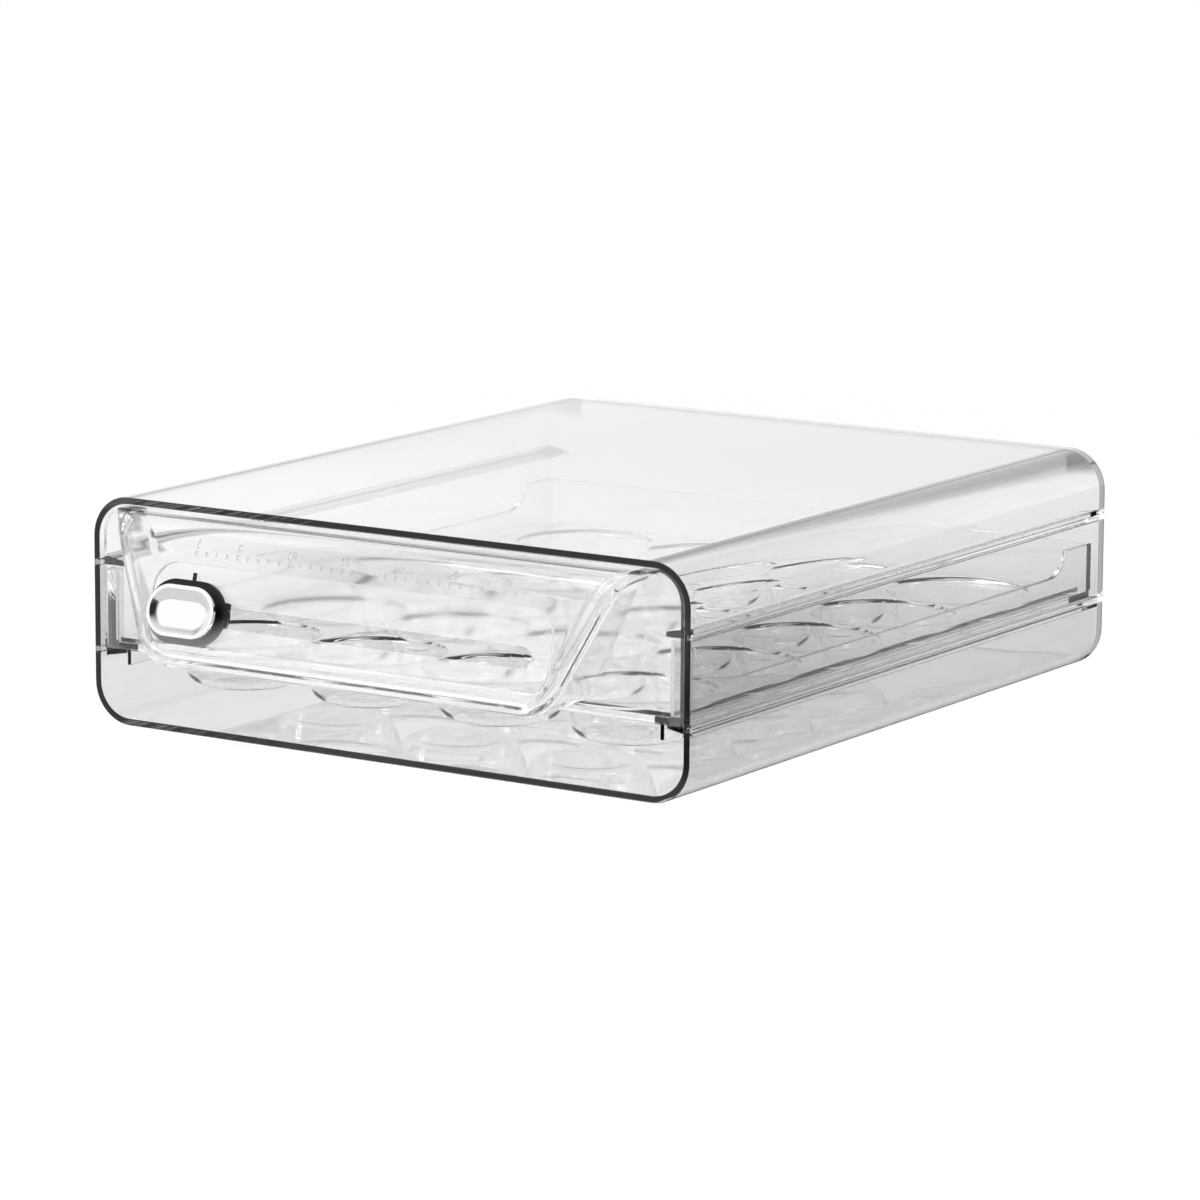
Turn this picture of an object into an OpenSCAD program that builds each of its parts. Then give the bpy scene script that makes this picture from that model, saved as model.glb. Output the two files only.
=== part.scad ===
// Clear sliding drawer box: a rounded sleeve, a drawer with round cups and a
// reclined bulging front that carries a day marker sliding in a slot.
// Millimetres, +Z up, front at -Y. The origin is the middle of the sleeve's base.

/* [Sleeve] */
// Outside width of the sleeve
sleeve_w = 225; // [215:1:260]
// Outside height of the sleeve
sleeve_h = 74; // [72:1:90]
// Outside depth of the sleeve
sleeve_d = 262; // [255:1:300]
// Radius of the long outside edges
sleeve_r = 13.5; // [11:0.5:16]
// Wall thickness of the sleeve
sleeve_wall = 2.2; // [1.8:0.1:2.6]
// How far each rail stands in from the wall
rail_out = 8.1; // [7.6:0.1:8.6]
// Distance of the rails' front ends behind the sleeve's front edge
rail_start = 3.4; // [3.2:0.1:6]
// Height of the lower rails' load face above the base
rail_low_z = 24.4; // [22:0.1:26]
// Height of the upper rails' underside above the base
rail_high_z = 50.9; // [49:0.1:53]
// Thickness of a rail at its tip
rail_tip = 1.7; // [1.4:0.1:2.2]
// Height of the groove pressed into the outside behind each rail
groove_h = 1.8; // [1:0.1:2]
// Depth of that groove
groove_depth = 1.8; // [1:0.1:2]
// Distance of the grooves' front ends behind the sleeve's front edge
groove_start = 1.6; // [1.2:0.1:4]

/* [Drawer] */
// Thickness of the drawer's flange, which runs on the lower rails
flange_t = 2; // [1.6:0.1:2.4]
// Gap between the flange and the rail it slides on
run_gap = 0.05; // [0.03:0.01:0.1]
// Gap between the drawer's sides and the sleeve's walls
side_gap = 1.5; // [1:0.1:2]
// Gap between the drawer's back and the sleeve's back wall
back_gap = 2.3; // [1.5:0.1:4]
// Thickness of the drawer's side and back walls
drawer_wall = 1.8; // [1.5:0.1:2.2]
// Height of the low part of the drawer's sides above the base
side_low_z = 34.8; // [33.5:0.1:36]
// Height of the drawer's back wall above the base
back_top_z = 43; // [42:0.5:45]
// Radius of the curve at the front end of the low sides
side_dip_r = 37; // [34:1:40]
// Radius of the curve at their rear end
rear_dip_r = 12.5; // [11:0.5:14]
// How far the guide fins hang below the flange
fin_drop = 5.4; // [4:0.1:7]
// Thickness of a guide fin
fin_t = 1.4; // [1.2:0.1:1.6]
// Gap between a guide fin and the rail beside it
fin_gap = 0.5; // [0.3:0.1:1]
// Width of the posts that stiffen the front ends of the drawer's sides
post_w = 4.4; // [3:0.1:5]
// Depth of those posts
post_d = 3.2; // [2:0.1:5]

/* [Cups] */
// Spacing of the cups, both ways
cup_pitch = 49.2; // [48.6:0.1:49.4]
// Inside radius of a cup at its mouth
cup_r = 22.3; // [20:0.1:22.4]
// Inside radius of a cup where the wall meets the bottom
cup_base_r = 18.2; // [15:0.1:19]
// Height of the cups' undersides above the base
cup_under_z = 12.5; // [8:0.5:16]
// Wall thickness of a cup
cup_wall = 1.2; // [1:0.1:1.3]
// Thickness of the plate that joins the cups
tray_t = 1.5; // [1.2:0.1:1.5]
// Distance of the first row of cups behind the sleeve's front edge
first_row_y = 29.5; // [29:0.5:32]

/* [Front] */
// Angle the front panel leans back
lean = 15; // [10:1:18]
// Forward reach of the panel's face at the slot's height
reach = 19.5; // [17:0.5:24]
// Height of the slot above the base
slot_z = 44; // [43:0.5:46]
// Height of the bulge's underside above the base
bulge_low_z = 26; // [26:0.5:28]
// Width left on each side of the bulge, at 40 mm above the base
bulge_inset = 30.5; // [29.5:0.5:31.5]
// Sideways spread of the flanks per millimetre of height
flank_spread = 0.46; // [0.4:0.01:0.5]
// Radius of the bulge's lower corners
corner_r = 17; // [14:0.5:18]
// Radius of the flare at the top of each flank
flare_r = 12; // [9:0.5:13]
// Width left beside the bulge's slanted cheeks at the sleeve's front edge
cheek_inset = 9.5; // [9:0.5:11]
// Sideways run of the cheeks per millimetre of depth
cheek_spread = 0.84; // [0.75:0.01:0.95]
// Radius along the top edge of the panel
crest_r = 12; // [9:0.5:13]
// Radius along the bottom edge of the panel
lip_r = 4; // [3.5:0.1:5]
// Wall thickness of the bulge
front_wall = 2; // [1.8:0.1:2.4]
// Width of the stepped rim around the panel
rim_w = 4.8; // [4:0.1:5]
// Depth of that step
rim_step = 1.5; // [1:0.1:1.8]

/* [Scale and marker] */
// Width of the panel left at each end of the inset scale plate
plate_inset = 6.8; // [6.4:0.1:7.5]
// Height of the inset scale plate along the panel
plate_h = 27.7; // [26:0.1:28]
// Corner radius of the scale plate
plate_r = 9; // [6:0.5:12]
// Thickness of the scale plate
plate_t = 1.2; // [1:0.1:1.3]
// Width of the plate left at each end of the slot
slot_inset = 6.8; // [5:0.1:8]
// Height of the slot along the panel
slot_h = 6.6; // [6:0.1:7]
// Length of the marker's stem in the slot
stem_w = 16.4; // [14:0.1:16.4]
// Width of the marker's black body
base_w = 30; // [28:0.1:31]
// Height of the marker's black body
base_h = 20.5; // [19:0.1:21]
// Width of the marker's bright cap
cap_w = 26; // [24:0.1:26.5]
// Height of the marker's bright cap
cap_h = 16.5; // [15:0.1:17]
// Thickness of the cap
cap_t = 3; // [2.6:0.1:3.5]
// Depth of the dish in the cap
dish = 1.6; // [1:0.1:1.8]

/* [Hidden] */
$fn = 96;

front_y = -sleeve_d / 2;                 // the sleeve's front edge
in_w = sleeve_w - 2 * sleeve_wall;
in_r = sleeve_r - sleeve_wall;
rail_x = in_w / 2 - rail_out;            // a rail's tip
fin_x = rail_x - fin_gap - fin_t / 2;
flange_z = rail_low_z + run_gap;
flange_top = flange_z + flange_t;
tray_top = flange_top + tray_t;
half_w = in_w / 2 - side_gap;            // the drawer's half width
front_back = 2.8;                        // back face of the front moulding
back_end = sleeve_d - sleeve_wall - back_gap;
wing_top = rail_high_z - 0.7;
columns = floor(2 * (fin_x - fin_t / 2) / cup_pitch);
rows = floor((back_end - drawer_wall - first_row_y) / cup_pitch + 0.5);
last_row_y = first_row_y + (rows - 1) * cup_pitch;
mouth_edge = cup_r + cup_wall + 0.6;     // from a cup's axis to the window's edge
window_x = (columns - 1) / 2 * cup_pitch + mouth_edge;
dip_front = side_dip_r - 2;
dip_rear = back_end - rear_dip_r - 16;

crown_z = sleeve_h - sleeve_wall - 0.8;  // top of the front moulding
flank_a = atan(1 / flank_spread);
bulge_half = sleeve_w / 2 - bulge_inset;
cheek_x = sleeve_w / 2 - cheek_inset;
face_y = -reach;                         // the panel's face at slot_z
plate_w = 2 * (bulge_half - plate_inset);
slot_w = plate_w - 2 * slot_inset;
travel = slot_w - stem_w - 0.4;          // from the first day to the last
base_t = 1.6;
skin = rim_step + front_wall;            // thickness of the panel's middle
clip_t = 1.6;
lift = 0.05;                             // running gap under the marker

// ---- 2D shapes -------------------------------------------------------

// Rounded rectangle standing on z = 0, centred in x
module standing(w, h, r) {
    translate([-w / 2 + r, 0]) square([w - 2 * r, h]);
    translate([-w / 2, r]) square([w, h - 2 * r]);
    for (x = [-1, 1], z = [r, h - r]) translate([x * (w / 2 - r), z]) circle(r);
}

// Rounded rectangle centred on the origin
module rounded(w, h, r) {
    translate([0, -h / 2]) standing(w, h, r);
}

module stadium(w, h) {
    square([w - h, h], center = true);
    for (x = [-1, 1]) translate([x * (w - h) / 2, 0]) circle(h / 2);
}

// Points along an arc from angle a to angle b
function arc(c, r, a, b, n = 14) =
    [for (i = [0 : n]) c + r * [cos(a + (b - a) * i / n), sin(a + (b - a) * i / n)]];

function flipped(p) = [for (i = [len(p) - 1 : -1 : 0]) [-p[i].x, p[i].y]];

// Seen from the front: the bulge's outline, moved inward by d
module bulge_outline(d = 0) {
    low = bulge_low_z + d;
    top = crown_z - d;
    at40 = bulge_half - d / sin(flank_a);
    low_x = at40 - flank_spread * (40 - low);
    top_x = at40 + flank_spread * (top - 40);
    r1 = corner_r - d;
    r2 = flare_r + d;
    half = concat(
        arc([low_x - r1 * tan(flank_a / 2), low + r1], r1, -90, flank_a - 90),
        arc([top_x + r2 * tan(flank_a / 2), top - r2], r2, flank_a + 90, 90));
    polygon(concat(half, flipped(half)));
}

// Seen from the side: the bulge between its leaning face and the plane y = back
module bulge_side(d, back, low = bulge_low_z, top = crown_z) {
    face = face_y + d / cos(lean);
    low_y = face + (low - slot_z) * tan(lean);
    top_y = face + (top - slot_z) * tan(lean);
    r = crest_r - d;
    polygon(concat(
        arc([low_y + lip_r * tan(45 + lean / 2), low + lip_r], lip_r, 270, 180 - lean, 8),
        arc([top_y + r * tan(45 - lean / 2), top - r], r, 180 - lean, 90),
        [[back, top], [back, low]]));
}

// Seen from above: the slanted cheeks that run back to the sleeve's corners
module bulge_plan(d, back) {
    x = cheek_x - d * sqrt(1 + cheek_spread * cheek_spread);
    polygon([[-x - cheek_spread * back, back], [-x + cheek_spread * 60, -60],
             [x - cheek_spread * 60, -60], [x + cheek_spread * back, back]]);
}

// ---- placing ---------------------------------------------------------

module from_front() { translate([0, front_y, 0]) children(); }

// Extrudes a front view from y = a back to y = b
module front_slab(a, b) { translate([0, b, 0]) rotate([90, 0, 0]) linear_extrude(b - a) children(); }

// Extrudes a side view over the whole width
module side_slab(w) { translate([-w / 2, 0, 0]) rotate([90, 0, 90]) linear_extrude(w) children(); }

// Local axes on the panel: x across, y up the slope, z out of the face
module on_panel() { translate([0, face_y, slot_z]) rotate([90 - lean, 0, 0]) children(); }

// ---- pieces ----------------------------------------------------------

module rail2d() {
    // lower rails carry the flange, upper rails stop the drawer from tipping
    for (s = [-1, 1]) {
        polygon([[s * (in_w / 2 + 0.5), rail_low_z], [s * rail_x, rail_low_z],
                 [s * rail_x, rail_low_z - rail_tip],
                 [s * (in_w / 2 + 0.5), rail_low_z - rail_tip - 1.6]]);
        polygon([[s * (in_w / 2 + 0.5), rail_high_z], [s * rail_x, rail_high_z],
                 [s * rail_x, rail_high_z + rail_tip],
                 [s * (in_w / 2 + 0.5), rail_high_z + rail_tip + 1.6]]);
    }
}

module groove2d() {
    for (s = [-1, 1], z = [rail_low_z - 0.9, rail_high_z + 0.9])
        translate([s * sleeve_w / 2, z]) square([2 * groove_depth, groove_h], center = true);
}

module sleeve() color([0.9, 0.92, 0.93, 0.35]) from_front() difference() {
    union() {
        front_slab(0, sleeve_d) difference() {
            standing(sleeve_w, sleeve_h, sleeve_r);
            translate([0, sleeve_wall]) standing(in_w, sleeve_h - 2 * sleeve_wall, in_r);
        }
        front_slab(sleeve_d - sleeve_wall, sleeve_d) standing(sleeve_w, sleeve_h, sleeve_r);
        front_slab(rail_start, sleeve_d) rail2d();
    }
    front_slab(groove_start, sleeve_d + 1) groove2d();
}

// Seen from the side: the drawer's side wall, low between its two ends
module side_wall2d() {
    difference() {
        translate([front_back, flange_z]) square([back_end - front_back, wing_top - flange_z]);
        translate([dip_front, side_low_z + side_dip_r]) circle(side_dip_r);
        translate([dip_rear, side_low_z + rear_dip_r]) circle(rear_dip_r);
        translate([dip_front, side_low_z]) square([dip_rear - dip_front, 40]);
        translate([dip_rear, back_top_z]) square([40, 40]);
    }
}

module drawer_body() color([0.88, 0.9, 0.92, 0.35]) from_front() {
    difference() {
        translate([-half_w, front_back, flange_z])
            cube([2 * half_w, back_end - front_back, flange_t]);
        translate([-window_x, first_row_y - mouth_edge, flange_z - 1])
            cube([2 * window_x, last_row_y - first_row_y + 2 * mouth_edge, flange_t + 2]);
    }
    for (s = [0, 1]) mirror([s, 0, 0]) {
        translate([half_w - drawer_wall / 2, 0, 0]) side_slab(drawer_wall) side_wall2d();
        translate([half_w - post_w, front_back, flange_z])
            cube([post_w, post_d, wing_top - flange_z]);
        translate([fin_x - fin_t / 2, front_back, flange_z - fin_drop])
            cube([fin_t, last_row_y, fin_drop + 0.5]);
    }
    translate([-half_w, back_end - drawer_wall, flange_z])
        cube([2 * half_w, drawer_wall, back_top_z - flange_z]);
}

// Half section of one cup about its own axis
module cup2d() {
    low = cup_under_z;
    polygon([[0, low], [cup_base_r - 3 + cup_wall, low], [cup_base_r + cup_wall, low + 3.2],
             [cup_r + cup_wall, flange_top], [cup_r + cup_wall, tray_top], [cup_r, tray_top],
             [cup_base_r, low + 3.2 + cup_wall * 0.6], [cup_base_r - 3, low + cup_wall],
             [0, low + cup_wall]]);
}

module cup_centres() {
    for (i = [0 : columns - 1], j = [0 : rows - 1])
        translate([(i - (columns - 1) / 2) * cup_pitch, first_row_y + j * cup_pitch, 0]) children();
}

module egg_tray() color([0.9, 0.91, 0.93, 0.35]) from_front() {
    tray_x = half_w - post_w - 0.4;
    difference() {
        translate([-tray_x, front_back + 0.6, flange_top])
            cube([2 * tray_x, back_end - drawer_wall - front_back - 1.2, tray_t]);
        cup_centres() translate([0, 0, flange_top - 1]) cylinder(r = cup_r + cup_wall / 2, h = tray_t + 2);
    }
    cup_centres() rotate_extrude() cup2d();
}

// The flat outline that fits the sleeve's mouth
module mouth2d() {
    gap = 0.8;
    translate([0, sleeve_wall + gap])
        standing(in_w - 2 * side_gap, sleeve_h - 2 * sleeve_wall - 2 * gap, in_r - side_gap);
}

// The bulge's outer body; the middle stands proud of the rim by rim_step
module bulge_body(back) {
    intersection() {
        front_slab(-60, back) mouth2d();
        union() {
            intersection() {
                front_slab(-60, back) bulge_outline();
                side_slab(sleeve_w) bulge_side(rim_step, back);
            }
            intersection() {
                front_slab(-60, 0) bulge_outline(rim_w);
                side_slab(sleeve_w) bulge_side(0, 0);
            }
        }
        linear_extrude(sleeve_h) bulge_plan(0, back);
    }
}

module bulge_hollow() {
    intersection() {
        front_slab(-60, 10) bulge_outline(front_wall);
        side_slab(sleeve_w) bulge_side(skin, 10, 0, crown_z - front_wall);
        linear_extrude(sleeve_h) bulge_plan(front_wall, 10);
    }
}

// The flat shoulders inside the sleeve's mouth
module shoulder2d() {
    difference() {
        mouth2d();
        translate([-sleeve_w / 2, 0]) square([sleeve_w, flange_z]);
    }
}

module drawer_front() color([0.9, 0.92, 0.94, 0.35]) from_front() difference() {
    union() {
        front_slab(0.6, front_back) shoulder2d();
        bulge_body(front_back);
    }
    bulge_hollow();
    on_panel() {
        translate([0, 1.65, -plate_t]) linear_extrude(plate_t + 5)
            rounded(plate_w + 0.2, plate_h + 0.2, plate_r + 0.1);
        translate([0, 0, -skin - 3]) linear_extrude(skin + 6) stadium(slot_w, slot_h);
    }
}

module scale_plate() color([0.93, 0.95, 0.96, 0.35]) from_front() on_panel()
    translate([0, 0, -plate_t]) linear_extrude(plate_t) difference() {
        translate([0, 1.65]) rounded(plate_w, plate_h, plate_r);
        stadium(slot_w, slot_h);
    }

// Everything on the marker is drawn at the scale's first day
module at_day_one() { from_front() on_panel() translate([-travel / 2, 0, lift]) children(); }

module slider_base() color([0.05, 0.05, 0.06]) at_day_one() {
    linear_extrude(base_t) stadium(base_w, base_h);
    // pointer and side nub
    translate([1, base_h / 2 + 0.8, base_t / 2]) cube([1.8, 3.6, base_t], center = true);
    translate([base_w / 2 + 0.1, 3.4, base_t / 2]) cube([2.2, 3, base_t], center = true);
    translate([0, 0, -skin - 0.1 - lift]) linear_extrude(skin + 0.1 + lift + 0.5)
        stadium(stem_w, slot_h - 0.2);
    translate([0, 0, -skin - 0.1 - lift - clip_t]) linear_extrude(clip_t + 0.5) stadium(10, 4);
}

module slider_cap() color([0.8, 0.81, 0.83]) at_day_one() translate([0, 0, base_t]) difference() {
    linear_extrude(cap_t) stadium(cap_w, cap_h);
    // the dish: a rod with round ends sunk into the face
    ball = 14;
    translate([0, 0, cap_t + ball - dish]) {
        rotate([0, 90, 0]) cylinder(r = ball, h = cap_w - cap_h, center = true);
        for (s = [-1, 1]) translate([s * (cap_w - cap_h) / 2, 0, 0]) sphere(ball);
    }
}

module slider_clip() color([0.12, 0.12, 0.13]) at_day_one()
    translate([0, 0, -skin - 0.1 - lift - clip_t]) linear_extrude(clip_t) difference() {
        stadium(25, 13);
        stadium(10.1, 4.1);
    }

sleeve();
drawer_body();
egg_tray();
drawer_front();
scale_plate();
slider_base();
slider_cap();
slider_clip();
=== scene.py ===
import math

import bmesh
import bpy
from mathutils import Matrix, Vector


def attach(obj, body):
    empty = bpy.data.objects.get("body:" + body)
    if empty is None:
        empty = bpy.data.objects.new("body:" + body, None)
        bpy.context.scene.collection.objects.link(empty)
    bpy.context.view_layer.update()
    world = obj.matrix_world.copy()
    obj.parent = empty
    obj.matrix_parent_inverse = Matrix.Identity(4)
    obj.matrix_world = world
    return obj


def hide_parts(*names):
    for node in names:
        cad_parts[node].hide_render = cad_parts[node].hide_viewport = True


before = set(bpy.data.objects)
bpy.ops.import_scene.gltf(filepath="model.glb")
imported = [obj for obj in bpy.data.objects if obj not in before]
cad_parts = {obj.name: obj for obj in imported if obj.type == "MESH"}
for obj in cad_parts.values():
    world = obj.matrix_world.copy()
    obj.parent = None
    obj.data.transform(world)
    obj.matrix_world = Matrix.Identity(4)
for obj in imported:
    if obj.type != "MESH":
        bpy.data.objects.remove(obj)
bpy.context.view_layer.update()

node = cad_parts
MM = 0.001

# ---- The studio -------------------------------------------------------------
# The box stands on a plain white table under soft light. The camera stands low
# at the front right corner, far away, so that the long edges hardly converge.

scene = bpy.context.scene
scene.view_settings.view_transform = "Standard"
scene.cycles.max_bounces = 40
scene.cycles.transmission_bounces = 40
scene.cycles.glossy_bounces = 12
scene.cycles.transparent_max_bounces = 24

lens = bpy.data.cameras.new("camera")
camera = bpy.data.objects.new("camera", lens)
scene.collection.objects.link(camera)
scene.camera = camera
lens.lens, lens.sensor_width = 165.52, 36
lens.clip_start, lens.clip_end = 0.05, 30
ahead = Vector((-0.53582, 0.82371, -0.18544))
right = Vector((0.83768, 0.54613, 0.00542))
above = Vector((-0.10574, 0.15243, 0.98264))
camera_at = Vector((0.96875, -1.49665, 0.36764))
camera.matrix_world = Matrix.Translation(camera_at) @ Matrix((right, above, -ahead)).transposed().to_4x4()


class Wire:
    """One output in a node tree. Sums of wires add Math nodes, and node() adds any other node."""

    def __init__(self, tree, socket=None):
        self.tree, self.socket = tree, socket

    def node(self, kind, inputs=(), out=0, **settings):
        made = self.tree.nodes.new(kind)
        for name, value in settings.items():
            setattr(made, name, value)
        for key, value in dict(inputs).items():
            if isinstance(value, Wire):
                self.tree.links.new(value.socket, made.inputs[key])
            else:
                made.inputs[key].default_value = value
        return Wire(self.tree, made.outputs[out])

    def math(self, operation, *values):
        return self.node("ShaderNodeMath", enumerate(values), operation=operation)

    def __add__(self, other):
        return self.math("ADD", self, other)

    def __sub__(self, other):
        return self.math("SUBTRACT", self, other)

    def __rsub__(self, other):
        return self.math("SUBTRACT", other, self)

    def __mul__(self, other):
        return self.math("MULTIPLY", self, other)

    def __pow__(self, other):
        return self.math("POWER", self, other)

    def __abs__(self):
        return self.math("ABSOLUTE", self)

    def clamped(self, low, high):
        """0 up to low, 1 from high, and smooth between."""
        return self.node("ShaderNodeMapRange", {0: self, 1: low, 2: high},
                         interpolation_type="SMOOTHSTEP")

    def between(self, low, full, waning, high):
        """0 up to low, 1 from full to waning, and 0 again from high."""
        return self.clamped(low, full) * (1 - self.clamped(waning, high))

    def ray(self, name):
        light_path = self.tree.nodes.new("ShaderNodeLightPath")
        return Wire(self.tree, light_path.outputs[name])

    def mixed(self, factor, first, second, data="RGBA"):
        at = {"RGBA": (6, 7, 2), "FLOAT": (2, 3, 0)}[data]
        return self.node("ShaderNodeMix", {0: factor, at[0]: first, at[1]: second}, at[2], data_type=data)

    def coordinate(self, axis, name="Object"):
        """X, Y or Z (0, 1 or 2) of the object's own coordinates, in metres."""
        texture = self.tree.nodes.new("ShaderNodeTexCoord")
        return self.node("ShaderNodeSeparateXYZ", {0: Wire(self.tree, texture.outputs[name])}, axis)


def finished(name, shader_of):
    """A material whose shader is what shader_of makes of an empty tree."""
    made = bpy.data.materials.new(name)
    made.use_nodes = True
    tree = made.node_tree
    tree.nodes.clear()
    surface = shader_of(Wire(tree))
    output = tree.nodes.new("ShaderNodeOutputMaterial")
    tree.links.new(surface.socket, output.inputs["Surface"])
    return made


def seen(wire):
    """1 for what the camera sees straight on, in a mirror or through clear plastic."""
    return wire.math("MAXIMUM", wire.ray("Is Camera Ray"),
                     wire.math("MAXIMUM", wire.ray("Is Glossy Ray"), wire.ray("Is Transmission Ray")))


def table_top(wire):
    """White, with the box's soft shadow near it, and dim in a mirror, which then shows its own shape."""
    shade = wire.node("ShaderNodeBsdfDiffuse", {"Color": (0.9, 0.9, 0.9, 1)})
    white = wire.node("ShaderNodeEmission", {"Color": (1, 1, 1, 1), "Strength": 1.0})
    x, y = wire.coordinate(0), wire.coordinate(1)
    far = wire.math("SQRT", x * x + y * y).clamped(0.35, 0.9)
    lit = wire.node("ShaderNodeMixShader", {0: seen(wire) * (far * 0.18 + 0.82), 1: shade, 2: white})
    beside = x.clamped(-0.03, 0.04)
    mirrored = wire.ray("Is Glossy Ray") * (1 - wire.ray("Is Transmission Ray"))
    unlit = wire.node("ShaderNodeEmission", {"Color": (0.03, 0.03, 0.03, 1), "Strength": 1.0})
    return wire.node("ShaderNodeMixShader", {0: mirrored * (beside * 0.65 + 0.3), 1: lit, 2: unlit})


bm = bmesh.new()
bmesh.ops.create_circle(bm, cap_ends=True, segments=64, radius=4)
table_mesh = bpy.data.meshes.new("table")
bm.to_mesh(table_mesh)
bm.free()
table = bpy.data.objects.new("table", table_mesh)
scene.collection.objects.link(table)
table.location.z = -0.0002
table.data.materials.append(finished("table_top", table_top))

world = bpy.data.worlds.new("studio")
scene.world = world
world.use_nodes = True
world.node_tree.nodes.clear()
sky = Wire(world.node_tree)
across, depth, up = (sky.coordinate(i, "Generated") for i in range(3))
# What the plastic and the plating see: a bright wall behind, a box light in front, a pale roof, a dim side.
back_wall = (depth * 0.80 - across * 0.60).clamped(-0.1, 0.7) * (1 - up.clamped(0.05, 0.6) * 0.6) * 0.9
front_box = (across * -0.53 - depth * 0.80 + up * 0.28).clamped(0.72, 0.93)
roof = up.clamped(0.55, 0.95) * 0.6
dark_side = (across * 0.54 - depth * 0.82 + up * 0.18).clamped(0.8, 0.95) * 0.19
studio = sky.math("MINIMUM", back_wall * 1.2 + front_box + roof - dark_side + 0.22, 1.1)
level = sky.mixed(sky.ray("Is Camera Ray"), studio, 1.0, "FLOAT")
backdrop = sky.node("ShaderNodeBackground", {"Color": (1, 1, 1, 1), "Strength": level})
world_out = world.node_tree.nodes.new("ShaderNodeOutputWorld")
world.node_tree.links.new(backdrop.socket, world_out.inputs["Surface"])

for name, place, size, power in (("key", (-0.5, -0.6, 1.2), 0.4, 9), ("fill", (0.9, 0.7, 1.1), 0.35, 5)):
    lamp = bpy.data.lights.new(name, "AREA")
    lamp.energy, lamp.size = power, size
    held = bpy.data.objects.new(name, lamp)
    held.location = place
    held.rotation_mode = "QUATERNION"
    held.rotation_quaternion = (-Vector(place)).to_track_quat("-Z", "Y")
    held.visible_glossy = name == "fill"         # the key would be a hard spot in the marker's mirror
    scene.collection.objects.link(held)


# ---- The sleeve -------------------------------------------------------------
# One clear polystyrene moulding with polished faces. Its front edge is cut
# square, and light that runs inside the walls leaves it dark grey there: that
# grey is painted on as shade, and the light leaving the cut edges as a glow.

sleeve_points = [v.co / MM for v in node["sleeve"].data.vertices]
half_width = round(max(p.x for p in sleeve_points), 2)
mouth, rear = (round(pick(p.y for p in sleeve_points), 2) for pick in (min, max))
flat_half = half_width - 13.5                    # where the top's flat ends and the corners bend
wall_x = half_width - 3.5                        # just inside the side walls


def grey(level):
    """A grey of that level, with the trace of blue that clear polystyrene has."""
    return (level, level, level * 1.006, 1)


def clear_plastic(tint, edge, painted_shades=(), haze=0.0, glow=None):
    """Clear plastic of that tint, greyer where it is seen along its surface.

    Each patch is a mask of painted shade and the level it is greyed to. The glow masks painted light that
    leaves the surface."""
    def shader_of(wire):
        facing = wire.node("ShaderNodeLayerWeight", {"Blend": 0.5}, 1)
        colour = wire.mixed(facing ** 3, grey(tint), grey(edge))
        for mask, patch_level in painted_shades:
            colour = wire.mixed(mask(wire), colour, grey(patch_level))
        deep = wire.ray("Ray Depth").clamped(3, 9)    # many thin tints would add up to black
        colour = wire.mixed(deep, colour, (0.99, 0.99, 0.99, 1))
        sockets = {"Base Color": colour, "Roughness": haze, "IOR": 1.46, "Transmission Weight": 1.0}
        if glow:
            sockets["Emission Color"] = wire.mixed(glow(wire), (0, 0, 0, 1), grey(1))
            sockets["Emission Strength"] = 1.0
        glass = wire.node("ShaderNodeBsdfPrincipled", sockets)
        passed = wire.node("ShaderNodeBsdfTransparent", {"Color": (0.985, 0.985, 0.985, 1)})
        return wire.node("ShaderNodeMixShader", {0: wire.ray("Is Shadow Ray"), 1: glass, 2: passed})
    return shader_of


def smooth_copy(name, source):
    """A copy of a CAD node with its triangles joined and its curves shaded smooth."""
    mesh = node[source].data.copy()
    bm = bmesh.new()
    bm.from_mesh(mesh)
    bmesh.ops.remove_doubles(bm, verts=bm.verts, dist=1e-6)
    bmesh.ops.dissolve_limit(bm, angle_limit=math.radians(0.5), verts=bm.verts, edges=bm.edges)
    for face in bm.faces:
        face.smooth = True
    for edge in bm.edges:
        edge.smooth = edge.calc_face_angle(0) < math.radians(32)
    bm.to_mesh(mesh)
    bm.free()
    made = bpy.data.objects.new(name, mesh)
    scene.collection.objects.link(made)
    return made


def dress(piece, source, body, material):
    """Finishes a piece: its material, the CAD node it stands for and the body it rides on."""
    piece.data.materials.clear()
    piece.data.materials.append(material)
    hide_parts(source)
    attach(piece, body)


def soft_edges(piece, width):
    """Rounds a moulding's sharp edges a little, as a polished mould leaves them."""
    bevel = piece.modifiers.new("soft_edges", "BEVEL")
    bevel.width, bevel.segments = width * MM, 2
    bevel.limit_method, bevel.angle_limit = "ANGLE", math.radians(40)
    bevel.harden_normals = True
    bevel.use_clamp_overlap = True
    return piece


def low_walls(wire):
    """The lower half of the walls, greyed with painted shade for the grey light they take from the table,
    less so on the back wall.
    """
    far_wall = wire.coordinate(1).clamped((rear - 4) * MM, (rear - 3) * MM)
    return (1 - wire.coordinate(2).clamped(14 * MM, 60 * MM)) * (1 - far_wall * 0.6)


def front_sides(wire):
    """The front part of the side walls, from outside, darkened with painted shade."""
    side = abs(wire.coordinate(0)).clamped((wall_x - 1) * MM, (wall_x + 1) * MM)
    high = wire.coordinate(2).between(18 * MM, 26 * MM, 50 * MM, 60 * MM)
    forward = 1 - wire.coordinate(1).clamped((mouth + 11) * MM, 60 * MM)
    return side * high * forward * wire.ray("Is Camera Ray")


def corner(wire, start, end, widening):
    """Along the long edges, from start to end off the flat's end, the end moving outward to the rear."""
    x, y = abs(wire.coordinate(0)) - flat_half * MM, wire.coordinate(1) - mouth * MM
    past = (x - y * widening).clamped((end - 1.4) * MM, (end + 0.6) * MM)
    upper = wire.coordinate(2).clamped(64 * MM, 68 * MM)
    return x.clamped((start - 0.6) * MM, (start + 0.3) * MM) * (1 - past) * upper


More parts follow.
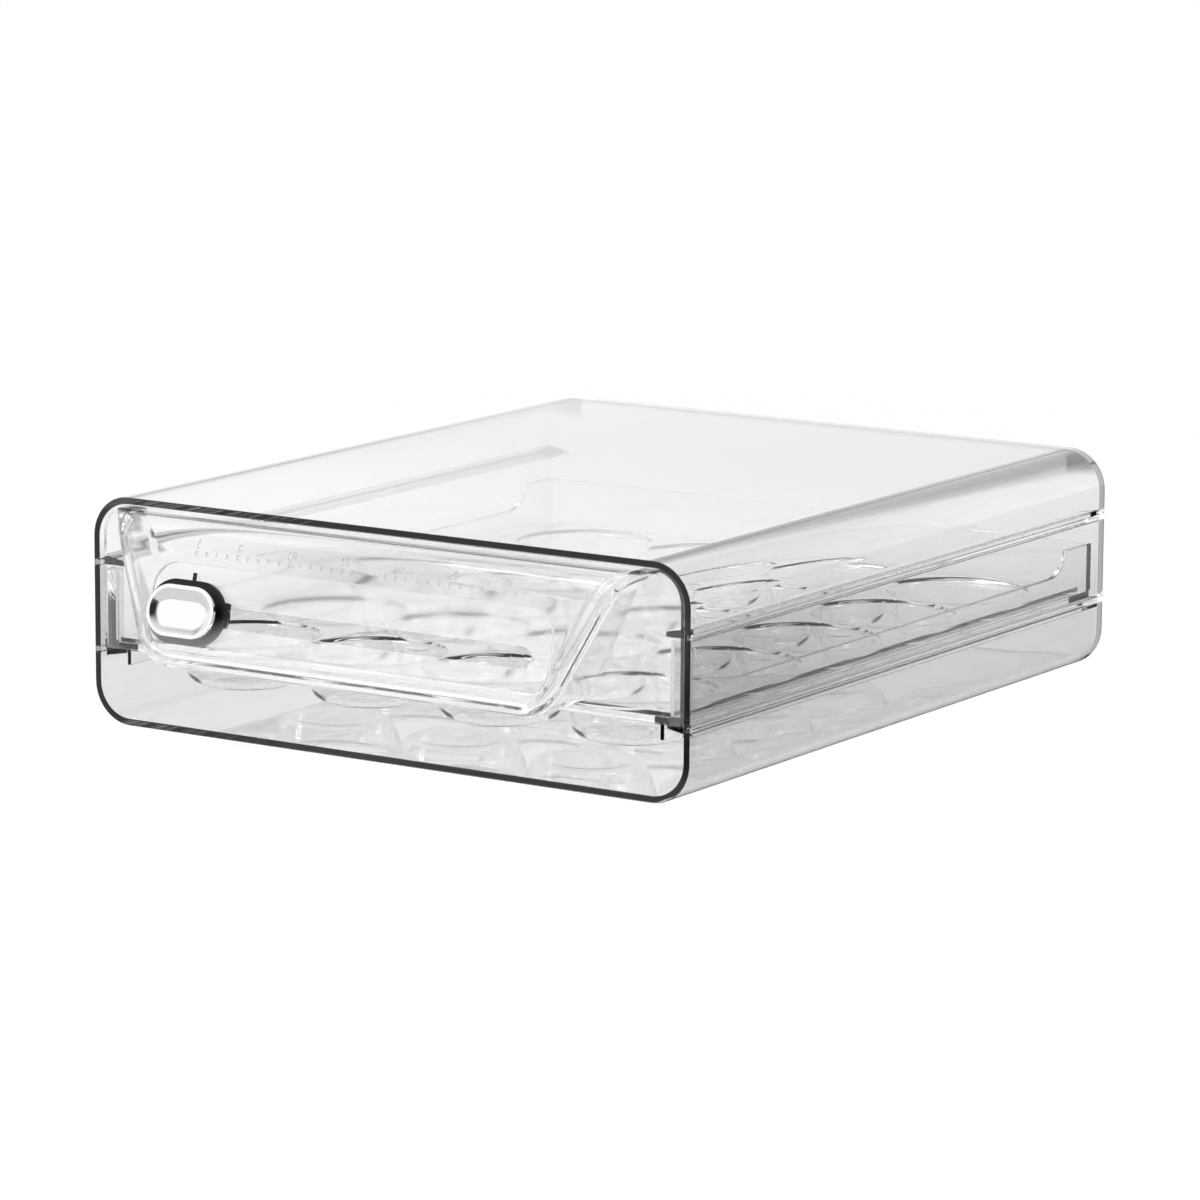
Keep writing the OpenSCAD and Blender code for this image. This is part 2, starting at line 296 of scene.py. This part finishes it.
def corner_core(wire):
    """A painted dark line of shade there, which fades towards the rear."""
    fading = (wire.coordinate(1) - mouth * MM).clamped(90 * MM, 240 * MM)
    return corner(wire, -1.4, 1.1, -0.002) * (1 - fading * 0.75)


def corner_band(wire):
    """A paler band of painted shade beside it, which widens towards the rear."""
    return corner(wire, -1.4, 2.4, 0.028)


def rear_top(wire):
    """The top, greyed with painted shade towards the rear."""
    upper = wire.coordinate(2).clamped(70.5 * MM, 71 * MM)
    return wire.coordinate(1).clamped((mouth + 11) * MM, 70 * MM) * upper


def rear_glow(wire):
    """Painted light where light runs inside the back wall and leaves it at its ends."""
    x, z = abs(wire.coordinate(0)), wire.coordinate(2)
    behind = wire.coordinate(1) - rear * MM
    outer = wire.math("MAXIMUM", x.clamped((wall_x - 0.5) * MM, (wall_x + 0.5) * MM),
                      z.clamped(69.5 * MM, 70.5 * MM))
    grooved = (1 - x.clamped((half_width - 0.6) * MM, (half_width - 0.2) * MM)) * z.between(
        18 * MM, 20 * MM, 56 * MM, 58 * MM)
    ends = behind.clamped(-4.4 * MM, -3.6 * MM) - behind.clamped(-1.4 * MM, -0.4 * MM) * 0.5
    brightest = wire.math("MAXIMUM", ends * 0.42, grooved * behind.clamped(-12 * MM, -9 * MM) * 0.6)
    return brightest * outer * wire.ray("Is Camera Ray")


def mouth_cut(wire):
    """The square cut edge of the mouth, painted dark grey as shade and a little lighter on its upright sides;
    the same mask gives it a faint painted glow.
    """
    cut = (1 - wire.coordinate(1).clamped(mouth * MM, (mouth + 0.5) * MM)) * wire.ray("Is Camera Ray")
    upright = abs(wire.coordinate(0)).clamped((wall_x - 1) * MM, (wall_x + 3) * MM)
    return cut * (1 - upright * 0.09)


def end_glow(wire):
    """Painted light where light leaves the walls by their cut edges, at the mouth and behind."""
    low = (1 - wire.coordinate(2).clamped(6 * MM, 14 * MM)) * wire.coordinate(0).clamped(-100 * MM, 50 * MM)
    return rear_glow(wire) + mouth_cut(wire) * (low * 0.03 + 0.012)


# The sleeve's patches are painted shade, and its glow is painted light.
sleeve_clear = finished("clear_sleeve", clear_plastic(0.95, 0.66, (
    (low_walls, 0.76), (front_sides, 0.38), (rear_top, 0.70), (corner_band, 0.46), (corner_core, 0.05),
    (mouth_cut, 0.15)), glow=end_glow))
dress(soft_edges(smooth_copy("sleeve_shell", "sleeve"), 0.35), "sleeve", "case", sleeve_clear)

# ---- The drawer's frame -----------------------------------------------------
# The same clear polystyrene: a flange that slides on the sleeve's lower rails,
# low side walls with a curved dip, a back wall and two guide fins underneath.

def front_posts(wire):
    """The thick posts at the front ends of the sides, which look grey from in front: that grey is painted
    shade, and the mask also gives them a faint painted glow.
    """
    outer = abs(wire.coordinate(0)).clamped(103.8 * MM, 104.3 * MM)
    return outer * (1 - wire.coordinate(1).clamped((mouth + 6.1) * MM, (mouth + 6.6) * MM))


front_depth = 2.8                                # of the front's shoulders, just before the posts
# The front posts are painted grey as shade and given a faint painted glow.
drawer_clear = finished("clear_drawer", clear_plastic(
    0.94, 0.55, ((front_posts, 0.5),), glow=lambda wire: front_posts(wire) * 0.07))
drawer_tub = smooth_copy("drawer_tub", "drawer_body")
for v in drawer_tub.data.vertices:
    if v.co.y < (mouth + front_depth + 0.01) * MM:
        v.co.y += 0.06 * MM                      # light needs a hair of air between two mouldings
dress(soft_edges(drawer_tub, 0.3), "drawer_body", "drawer", drawer_clear)

# ---- The cup tray -----------------------------------------------------------
# One thin moulding of four by five round cups, joined at their mouths. The
# mouths are rounded over, so neighbouring rims nearly touch.

pitch = 49.2
columns, rows = 4, 5
first_row = mouth + 29.5
tray_half, tray_front, tray_back = 104, mouth + 3.4, mouth + 255.1
cup_floor, land = 13.7, 27.95                    # heights of the upper side
cup_foot, land_below = 12.5, 26.51               # and of the underside


def cup_skin(bm, profile, roundings):
    """One side of a cup: the profile spun about the cup's axis, its rings rounded, its rim made square."""
    chain = [bm.verts.new((r, 0, z)) for r, z in profile]
    links = [bm.edges.new(pair) for pair in zip(chain, chain[1:])]
    bmesh.ops.spin(bm, geom=chain + links, cent=(0, 0, 0), axis=(0, 0, 1), angle=math.tau,
                   steps=64, use_merge=True)
    bmesh.ops.remove_doubles(bm, verts=bm.verts, dist=1e-4)
    for (r, z), size, steps in roundings:
        ring = [e for e in bm.edges if all(
            abs(v.co.xy.length - r) < 0.01 and abs(v.co.z - z) < 0.01 for v in e.verts)]
        bmesh.ops.bevel(bm, geom=ring, affect="EDGES", offset=size, segments=steps, profile=0.5, material=-1)
    edge_z = profile[-1][1]
    for v in bm.verts:
        if abs(v.co.xy.length - pitch / 2) < 0.01 and abs(v.co.z - edge_z) < 0.01:
            v.co.xy *= pitch / 2 / max(abs(v.co.x), abs(v.co.y))


bm = bmesh.new()
cup_skin(bm, ((0, cup_floor), (17.4, cup_floor), (22.3, land), (pitch / 2, land)),
         (((17.4, cup_floor), 3.2, 5), ((22.3, land), 2.1, 5)))
under = bmesh.new()
cup_skin(under, ((0, cup_foot), (18.0, cup_foot), (23.3, land_below), (pitch / 2, land_below)),
         (((18.0, cup_foot), 3.4, 5), ((23.3, land_below), 0.7, 2)))
under_mesh = bpy.data.meshes.new("underside")
under.to_mesh(under_mesh)
under.free()
bm.from_mesh(under_mesh)
one_cup = bm.verts[:] + bm.edges[:] + bm.faces[:]
for column in range(columns):
    for row in range(rows):
        copied = bmesh.ops.duplicate(bm, geom=one_cup)["geom"]
        bmesh.ops.translate(bm, verts=[v for v in copied if isinstance(v, bmesh.types.BMVert)], vec=(
            (column - (columns - 1) / 2) * pitch, first_row + row * pitch, 0))
bmesh.ops.delete(bm, geom=[v for v in one_cup if isinstance(v, bmesh.types.BMVert)], context="VERTS")
bmesh.ops.remove_doubles(bm, verts=bm.verts, dist=1e-3)
for v in {v for e in bm.edges if e.is_boundary for v in e.verts}:
    if abs(abs(v.co.x) - columns / 2 * pitch) < 0.01:
        v.co.x = math.copysign(tray_half, v.co.x)
    if abs(v.co.y - first_row + pitch / 2) < 0.01:
        v.co.y = tray_front
    if abs(v.co.y - first_row - (rows - 0.5) * pitch) < 0.01:
        v.co.y = tray_back
bmesh.ops.bridge_loops(bm, edges=[e for e in bm.edges if e.is_boundary])
bmesh.ops.recalc_face_normals(bm, faces=bm.faces)
bmesh.ops.scale(bm, vec=(MM, MM, MM), verts=bm.verts)
for face in bm.faces:
    face.smooth = True
for edge in bm.edges:
    edge.smooth = edge.calc_face_angle(0) < math.radians(40)
tray_mesh = bpy.data.meshes.new("cup_tray")
bm.to_mesh(tray_mesh)
bm.free()
cup_tray = bpy.data.objects.new("cup_tray", tray_mesh)
scene.collection.objects.link(cup_tray)
even = cup_tray.modifiers.new("flat_lands", "WEIGHTED_NORMAL")
even.keep_sharp = True
tray_clear = finished("clear_tray", clear_plastic(0.92, 0.48))
dress(cup_tray, "egg_tray", "drawer", tray_clear)

# ---- The drawer's front -----------------------------------------------------
# One clear moulding: flat shoulders in the sleeve's mouth and a hollow bulge whose
# face leans back. A raised middle runs over a soft slope into a narrow flat rim.

face_y, slot_z, lean = mouth - 19.5, 44, math.radians(15)
foot_z, top_z = 26, 71
slope, half_at_40 = 0.46, 82                     # the flanks widen upwards by the slope, from this half width
flank = math.atan(1 / slope)
outline_r, flare_r = 17, 12
bend_x, bend_z, bend_square = 99, 61.2, 96       # where the shoulders' corners bend, and their radius squared


def skin_y(z, low, top, behind, lip, crest):
    """Depth of the bulge's face at a height: a lip below, the leaning plane, a round crest above."""
    plane = face_y + behind / math.cos(lean)
    low_y = plane + (low - slot_z) * math.tan(lean) + lip * math.tan(math.pi / 4 + lean / 2)
    top_y = plane + (top - slot_z) * math.tan(lean) + crest * math.tan(math.pi / 4 - lean / 2)
    if z < low + lip * (1 + math.sin(lean)):
        return low_y - math.sqrt(max(lip ** 2 - (z - low - lip) ** 2, 0))
    if z > top - crest * (1 - math.sin(lean)):
        return top_y - math.sqrt(max(crest ** 2 - (z - top + crest) ** 2, 0))
    return plane + (z - slot_z) * math.tan(lean)


def flank_x(z, d, low, top, flared=True):
    """Half width of the bulge's outline, moved inward by d, at a height."""
    at_40 = half_at_40 - d / math.sin(flank)
    low_r, high_r = outline_r - d, flare_r + d
    low_x = at_40 - slope * (40 - low) - low_r * math.tan(flank / 2)
    high_x = at_40 + slope * (top - 40) + high_r * math.tan(flank / 2)
    if z < low + low_r * (1 - math.cos(flank)):
        return low_x + math.sqrt(max(low_r ** 2 - (z - low - low_r) ** 2, 0))
    if flared and z > top - high_r * (1 - math.cos(flank)):
        return high_x - math.sqrt(max(high_r ** 2 - (z - top + high_r) ** 2, 0))
    return at_40 + slope * (z - 40)


def smooth_step(v, low, high):
    """0 up to low, 1 from high, and smooth between."""
    t = min(max((v - low) / (high - low), 0), 1)
    return t * t * (3 - 2 * t)


def bulge(d, behind, step, lip, crest, edge, cheek, back):
    """A closed body behind the bulge's face: its outline moved in by d, its face back by behind.

    The rim lies back by step, lip and crest round the foot and the top, edge rounds the flanks, the cheeks
    run back to the mouth at cheek, and the body ends flat at back."""
    low, top = foot_z + d, top_z - d
    heights = [low + lip * (1 - math.cos(math.radians(a))) for a in range(0, 90, 9)]
    heights += [low + lip * 1.1 + (top - crest * 0.76 - low - lip * 1.1) * i / 18 for i in range(19)]
    heights += [top - crest * (1 - math.sin(math.radians(a))) for a in range(20, 91, 7)]
    aside = [0, 0.15, 0.4, 0.8, 1.2, 1.7, 2.3, 2.9, 3.5, 4.1, 4.8, 5.5, 6.2, 6.9, 7.8, 9, 12, 18]
    spans = 2 * len(aside) + 6
    corner_x = flank_x(low, d, low, top)
    corner_r = outline_r - d
    bm = bmesh.new()
    bmesh.ops.create_grid(bm, x_segments=spans, y_segments=len(heights) - 1, size=1)
    for v in bm.verts:
        i = round((v.co.x + 1) / 2 * spans)
        z = heights[round((v.co.y + 1) / 2 * (len(heights) - 1))]
        shoulder_x = bend_x - d + math.sqrt(max(bend_square - max(z - bend_z, 0) ** 2, 0))
        half = min(flank_x(z, d, low, top, d == 0), shoulder_x)
        n = min(i, spans - i)
        x = half - aside[n] if n < len(aside) else (half - aside[-1]) * (spans / 2 - n) / 3.5
        at_side = (half - x) * math.sin(flank)
        if x > corner_x and z < low + corner_r:
            from_edge = corner_r - math.hypot(x - corner_x, z - low - corner_r)
        else:
            from_edge = min(at_side, z - low)
        narrow = 0.4 + 0.6 * smooth_step(z, low + 1, low + 12)
        rim = step * (1 - smooth_step(max(from_edge, 0) / narrow, 2.6, 6.8))
        round_off = edge - math.sqrt(max(edge ** 2 - max(edge - at_side, 0) ** 2, 0))
        panel_y = skin_y(z, low, top, behind, lip, crest) + rim + round_off
        cheek_y = mouth + (x - cheek) / 0.84
        blend = max(1.6 - abs(panel_y - cheek_y), 0) / 1.6
        v.co = ((x if i > spans / 2 else -x), max(panel_y, cheek_y) + blend * blend * 0.4, z)
    edge_behind = bmesh.ops.extrude_edge_only(bm, edges=[e for e in bm.edges if e.is_boundary])["geom"]
    for v in edge_behind:
        if isinstance(v, bmesh.types.BMVert):
            v.co.y = back
    bmesh.ops.contextual_create(bm, geom=[e for e in bm.edges if e.is_boundary])
    bmesh.ops.remove_doubles(bm, verts=bm.verts, dist=1e-4)
    bmesh.ops.recalc_face_normals(bm, faces=bm.faces)
    return bm


def block(width, height, radius, low, high, steps=12):
    """A slab from low to high with rounded corners, flat on X and Y."""
    bm = bmesh.new()
    bmesh.ops.create_cube(bm, size=1)
    bmesh.ops.scale(bm, vec=(width, height, high - low), verts=bm.verts)
    bmesh.ops.translate(bm, vec=(0, 0, (high + low) / 2), verts=bm.verts)
    bmesh.ops.bevel(bm, geom=[e for e in bm.edges if abs(e.verts[0].co.z - e.verts[1].co.z) > 1e-4],
                    affect="EDGES", offset=radius, segments=steps, profile=0.5, material=-1)
    bmesh.ops.remove_doubles(bm, verts=bm.verts, dist=0.06)
    return bm


on_panel = Matrix.Translation((0, face_y, slot_z)) @ Matrix.Rotation(math.pi / 2 - lean, 4, "X")
raised = Matrix.Translation((0, 1.65, 0))        # the plate sits a little higher than the slot
slot_length, slot_width, slot_r = 136.8, 6.6, 3.29
shoulder_half, shoulder_foot = 108.8, 24.45


def solid(name, bm, place=Matrix.Identity(4)):
    """Makes an object of a bmesh in millimetres, its place kept in the mesh."""
    bmesh.ops.transform(bm, matrix=Matrix.Scale(MM, 4) @ place, verts=bm.verts)
    mesh = bpy.data.meshes.new(name)
    bm.to_mesh(mesh)
    bm.free()
    made = bpy.data.objects.new(name, mesh)
    scene.collection.objects.link(made)
    return made


def carved(piece, tools):
    """Joins or cuts the tools into the piece and takes them out of the scene."""
    for operation, tool in tools:
        cut = piece.modifiers.new(operation, "BOOLEAN")
        cut.operation, cut.object, cut.solver = operation, tool, "EXACT"
    piece.data = bpy.data.meshes.new_from_object(piece.evaluated_get(bpy.context.evaluated_depsgraph_get()))
    piece.modifiers.clear()
    for _, tool in tools:
        bpy.data.objects.remove(tool)
    return piece


def shade(piece, angle, flat=True):
    """Smooth shading with sharp edges above an angle, and flat faces kept flat."""
    piece.data.shade_smooth()
    piece.data.set_sharp_from_angle(angle=math.radians(angle))
    if flat:
        piece.modifiers.new("flat_faces", "WEIGHTED_NORMAL").keep_sharp = True
    return piece


shoulders = block(2 * shoulder_half, top_z - shoulder_foot, 9.7, -front_depth, -0.6)
bmesh.ops.transform(shoulders, verts=shoulders.verts, matrix=Matrix.Translation(
    (0, mouth, (top_z + shoulder_foot) / 2)) @ Matrix.Rotation(math.pi / 2, 4, "X"))
for v in shoulders.verts:
    if v.co.z < slot_z:
        v.co.x, v.co.z = math.copysign(shoulder_half, v.co.x), shoulder_foot
bmesh.ops.remove_doubles(shoulders, verts=shoulders.verts, dist=1e-3)
bmesh.ops.recalc_face_normals(shoulders, faces=shoulders.faces)
front_moulding = carved(solid("front_moulding", bulge(0, 0, 1.5, 2.5, 12, 0.9, 103, mouth + front_depth)), (
    ("UNION", solid("shoulders", shoulders)),
    ("DIFFERENCE", solid("hollow", bulge(2, 3.5, 0, 3, 8.5, 2.5, 100.4, mouth + 9))),
    ("DIFFERENCE", solid("pocket", block(150.6, 27.9, 9.1, -1.2, 5), on_panel @ raised)),
    ("DIFFERENCE", solid("slot", block(slot_length, slot_width, slot_r, -8, 6), on_panel))))


def left_rim(wire):
    """The narrow rim down the left flank, which is seen along its wall and looks grey: painted shade."""
    x, z = wire.coordinate(0) * -1, wire.coordinate(2)
    inward = z * slope - x + (half_at_40 - slope * 40) * MM
    forward = 1 - wire.coordinate(1).clamped((mouth - 8) * MM, (mouth - 6) * MM)
    return inward.between(-0.6 * MM, 0, 1.2 * MM, 2 * MM) * z.clamped(30 * MM, 34 * MM) * forward


def left_root(wire):
    """Where the left flank runs out at the top, a knot of thick plastic, darkened with painted shade."""
    x, z = wire.coordinate(0) * -1, wire.coordinate(2)
    return x.between(93 * MM, 95.5 * MM, 102.5 * MM, 103.5 * MM) * z.clamped(60.5 * MM, 62.5 * MM)


def lip_glow(wire):
    """The foot's small round, which passes light along itself, given a painted glow."""
    low = 1 - wire.coordinate(2).clamped((foot_z + 2.5) * MM, (foot_z + 4) * MM)
    forward = 1 - wire.coordinate(1).clamped((mouth - 9) * MM, (mouth - 7) * MM)
    return low * forward * wire.ray("Is Camera Ray") * 0.12


# The front's rim and root patches are painted shade, and the lip's glow is painted light.
front_clear = finished("clear_front", clear_plastic(
    0.995, 0.90, ((left_rim, 0.42), (left_root, 0.36)), haze=0.06, glow=lip_glow))
# The slot's walls are greyed with painted shade and a little hazy.
slot_shade_and_haze = finished("slot_walls", clear_plastic(0.60, 0.5, haze=0.08))


def grey_slot(piece):
    """Gives the slot's walls their duller moulded finish, a slight haze, with a grey tint that is painted
    shade.
    """
    piece.data.materials.append(slot_shade_and_haze)
    off_panel = on_panel.inverted()
    for face in piece.data.polygons:
        spot, way = off_panel @ (face.center / MM), off_panel.to_3x3() @ face.normal
        if abs(way.z) < 0.1 and abs(spot.x) < slot_length / 2 + 0.05 and abs(spot.y) < slot_width / 2 + 0.05:
            face.material_index = 1


dress(shade(front_moulding, 35), "drawer_front", "drawer", front_clear)
grey_slot(front_moulding)

# ---- The scale plate --------------------------------------------------------
# A thin clear plate let into the bulge's face and held in its pocket, with the
# slot that guides the marker along the days.

day_plate = carved(solid("day_plate", block(150.4, 27.7, 9, -1.14, 0), on_panel @ raised), (
    ("DIFFERENCE", solid("plate_slot", block(slot_length, slot_width, slot_r, -3, 3), on_panel)),))
dress(soft_edges(shade(day_plate, 35), 0.2), "scale_plate", "drawer", front_clear)
grey_slot(day_plate)

# ---- The day scale ----------------------------------------------------------
# Clear numerals and ticks that stand up a little from the bulge's round crest
# above the slot, moulded in one with the front: a tick for each day from 1 to 31.

scale_y, scale_z, scale_lean = mouth - 13.69, 64.6, math.radians(27.8)
on_crest = Matrix.Translation((0, scale_y, scale_z)) @ Matrix.Rotation(math.pi / 2 - scale_lean, 4, "X")
day_one_x, day_step = -60, 4


def day_x(day):
    return day_one_x + day_step * (day - 1)


scale_bm = bmesh.new()
for day in (1, 5, 10, 15, 20, 25, 30):
    lettering = bpy.data.curves.new("numeral", "FONT")
    lettering.body, lettering.size, lettering.extrude = str(day), 3.8, 0.2
    lettering.align_x, lettering.resolution_u = "CENTER", 3
    holder = bpy.data.objects.new("numeral", lettering)
    scene.collection.objects.link(holder)
    flat = bpy.data.meshes.new_from_object(holder.evaluated_get(bpy.context.evaluated_depsgraph_get()))
    flat.transform(Matrix.Translation((day_x(day), -0.9, 0.2)))
    scale_bm.from_mesh(flat)
    bpy.data.objects.remove(holder)
for day in range(1, 32):
    tick = block(0.6, 1.5 if day % 5 else 2.2, 0.1, 0, 0.4, 1)
    bmesh.ops.translate(tick, vec=(day_x(day), -2.6, 0), verts=tick.verts)
    tick_mesh = bpy.data.meshes.new("tick")
    tick.to_mesh(tick_mesh)
    tick.free()
    scale_bm.from_mesh(tick_mesh)
numerals = solid("numerals", scale_bm, on_crest)
# The numerals and ticks are greyed with painted shade so that their relief shows, and a little hazy.
numerals.data.materials.append(finished("clear_numerals", clear_plastic(0.72, 0.58, haze=0.08)))
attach(numerals, "drawer")

# ---- The marker -------------------------------------------------------------
# A black moulded body that slides in the slot, with a bright plated cap whose
# face is dished for a finger, and a dark clip that holds it from behind.

at_day_one = on_panel @ Matrix.Translation((day_one_x, 0, 0.05))
cap_top, dish_rings = 4.6, 15


def black_plastic(wire):
    """Black, with a painted greyer sheen on the lower part, where the table would light it."""
    upper = wire.coordinate(2).clamped(37 * MM, 45 * MM)
    black = wire.mixed(upper, (0.26, 0.26, 0.27, 1), (0.004, 0.004, 0.005, 1))
    return wire.node("ShaderNodeBsdfPrincipled", {
        "Base Color": black, "Roughness": 0.3, "Specular IOR Level": 0.3})


def bright_plating(wire):
    """Polished chrome plating on plastic."""
    return wire.node("ShaderNodeBsdfPrincipled", {
        "Base Color": (0.90, 0.90, 0.91, 1), "Roughness": 0.07, "Metallic": 1.0})


def softened(bm, size, steps=2, sharp=50):
    """Rounds the edges of a bmesh that are sharper than an angle."""
    bmesh.ops.bevel(bm, geom=[e for e in bm.edges if e.calc_face_angle(0) > math.radians(sharp)],
                    affect="EDGES", offset=size, segments=steps, profile=0.5, material=-1)
    return bm


marker_black = finished("marker_black", black_plastic)
body = softened(block(30, 20.5, 10.24, 0, 1.6), 0.35)
body_mesh = bpy.data.meshes.new("body_parts")
pointer, side_catch = block(0.7, 4.0, 0.34, 0.1, 1.3, 3), block(2.2, 2.4, 0.6, 0.1, 1.4, 3)
stem, rivet = block(16.4, 6.4, 3.19, -3.65, 0.4), block(10, 4, 1.99, -5.25, -3.5)
bmesh.ops.translate(pointer, vec=(1, 10.7, 0), verts=pointer.verts)
bmesh.ops.translate(side_catch, vec=(15, 3.4, 0), verts=side_catch.verts)
for part in (pointer, side_catch, stem, rivet):
    part.to_mesh(body_mesh)
    part.free()
    body.from_mesh(body_mesh)
marker_body = shade(solid("marker_body", body, at_day_one), 35)
dress(marker_body, "slider_base", "marker", marker_black)

cap = block(26, 16.5, 8.24, 1.6, cap_top)
dish = [f for f in cap.faces if f.calc_center_median().z > cap_top - 0.01]
bmesh.ops.inset_region(cap, faces=dish, thickness=1.25, depth=0, use_even_offset=True)
for ring in range(dish_rings):
    bmesh.ops.inset_region(cap, faces=dish, thickness=0.34, depth=0, use_even_offset=True)
    bmesh.ops.translate(cap, verts=list({v for f in dish for v in f.verts}),
                        vec=(0, 0, -0.26 * (1 - (ring + 0.5) / dish_rings) ** 1.4))
softened(cap, 0.22, 3, 70)
marker_cap = shade(solid("marker_cap", cap, at_day_one), 28, flat=False)
dress(marker_cap, "slider_cap", "marker", finished("bright_plating", bright_plating))
dress(smooth_copy("marker_clip", "slider_clip"), "slider_clip", "marker", marker_black)
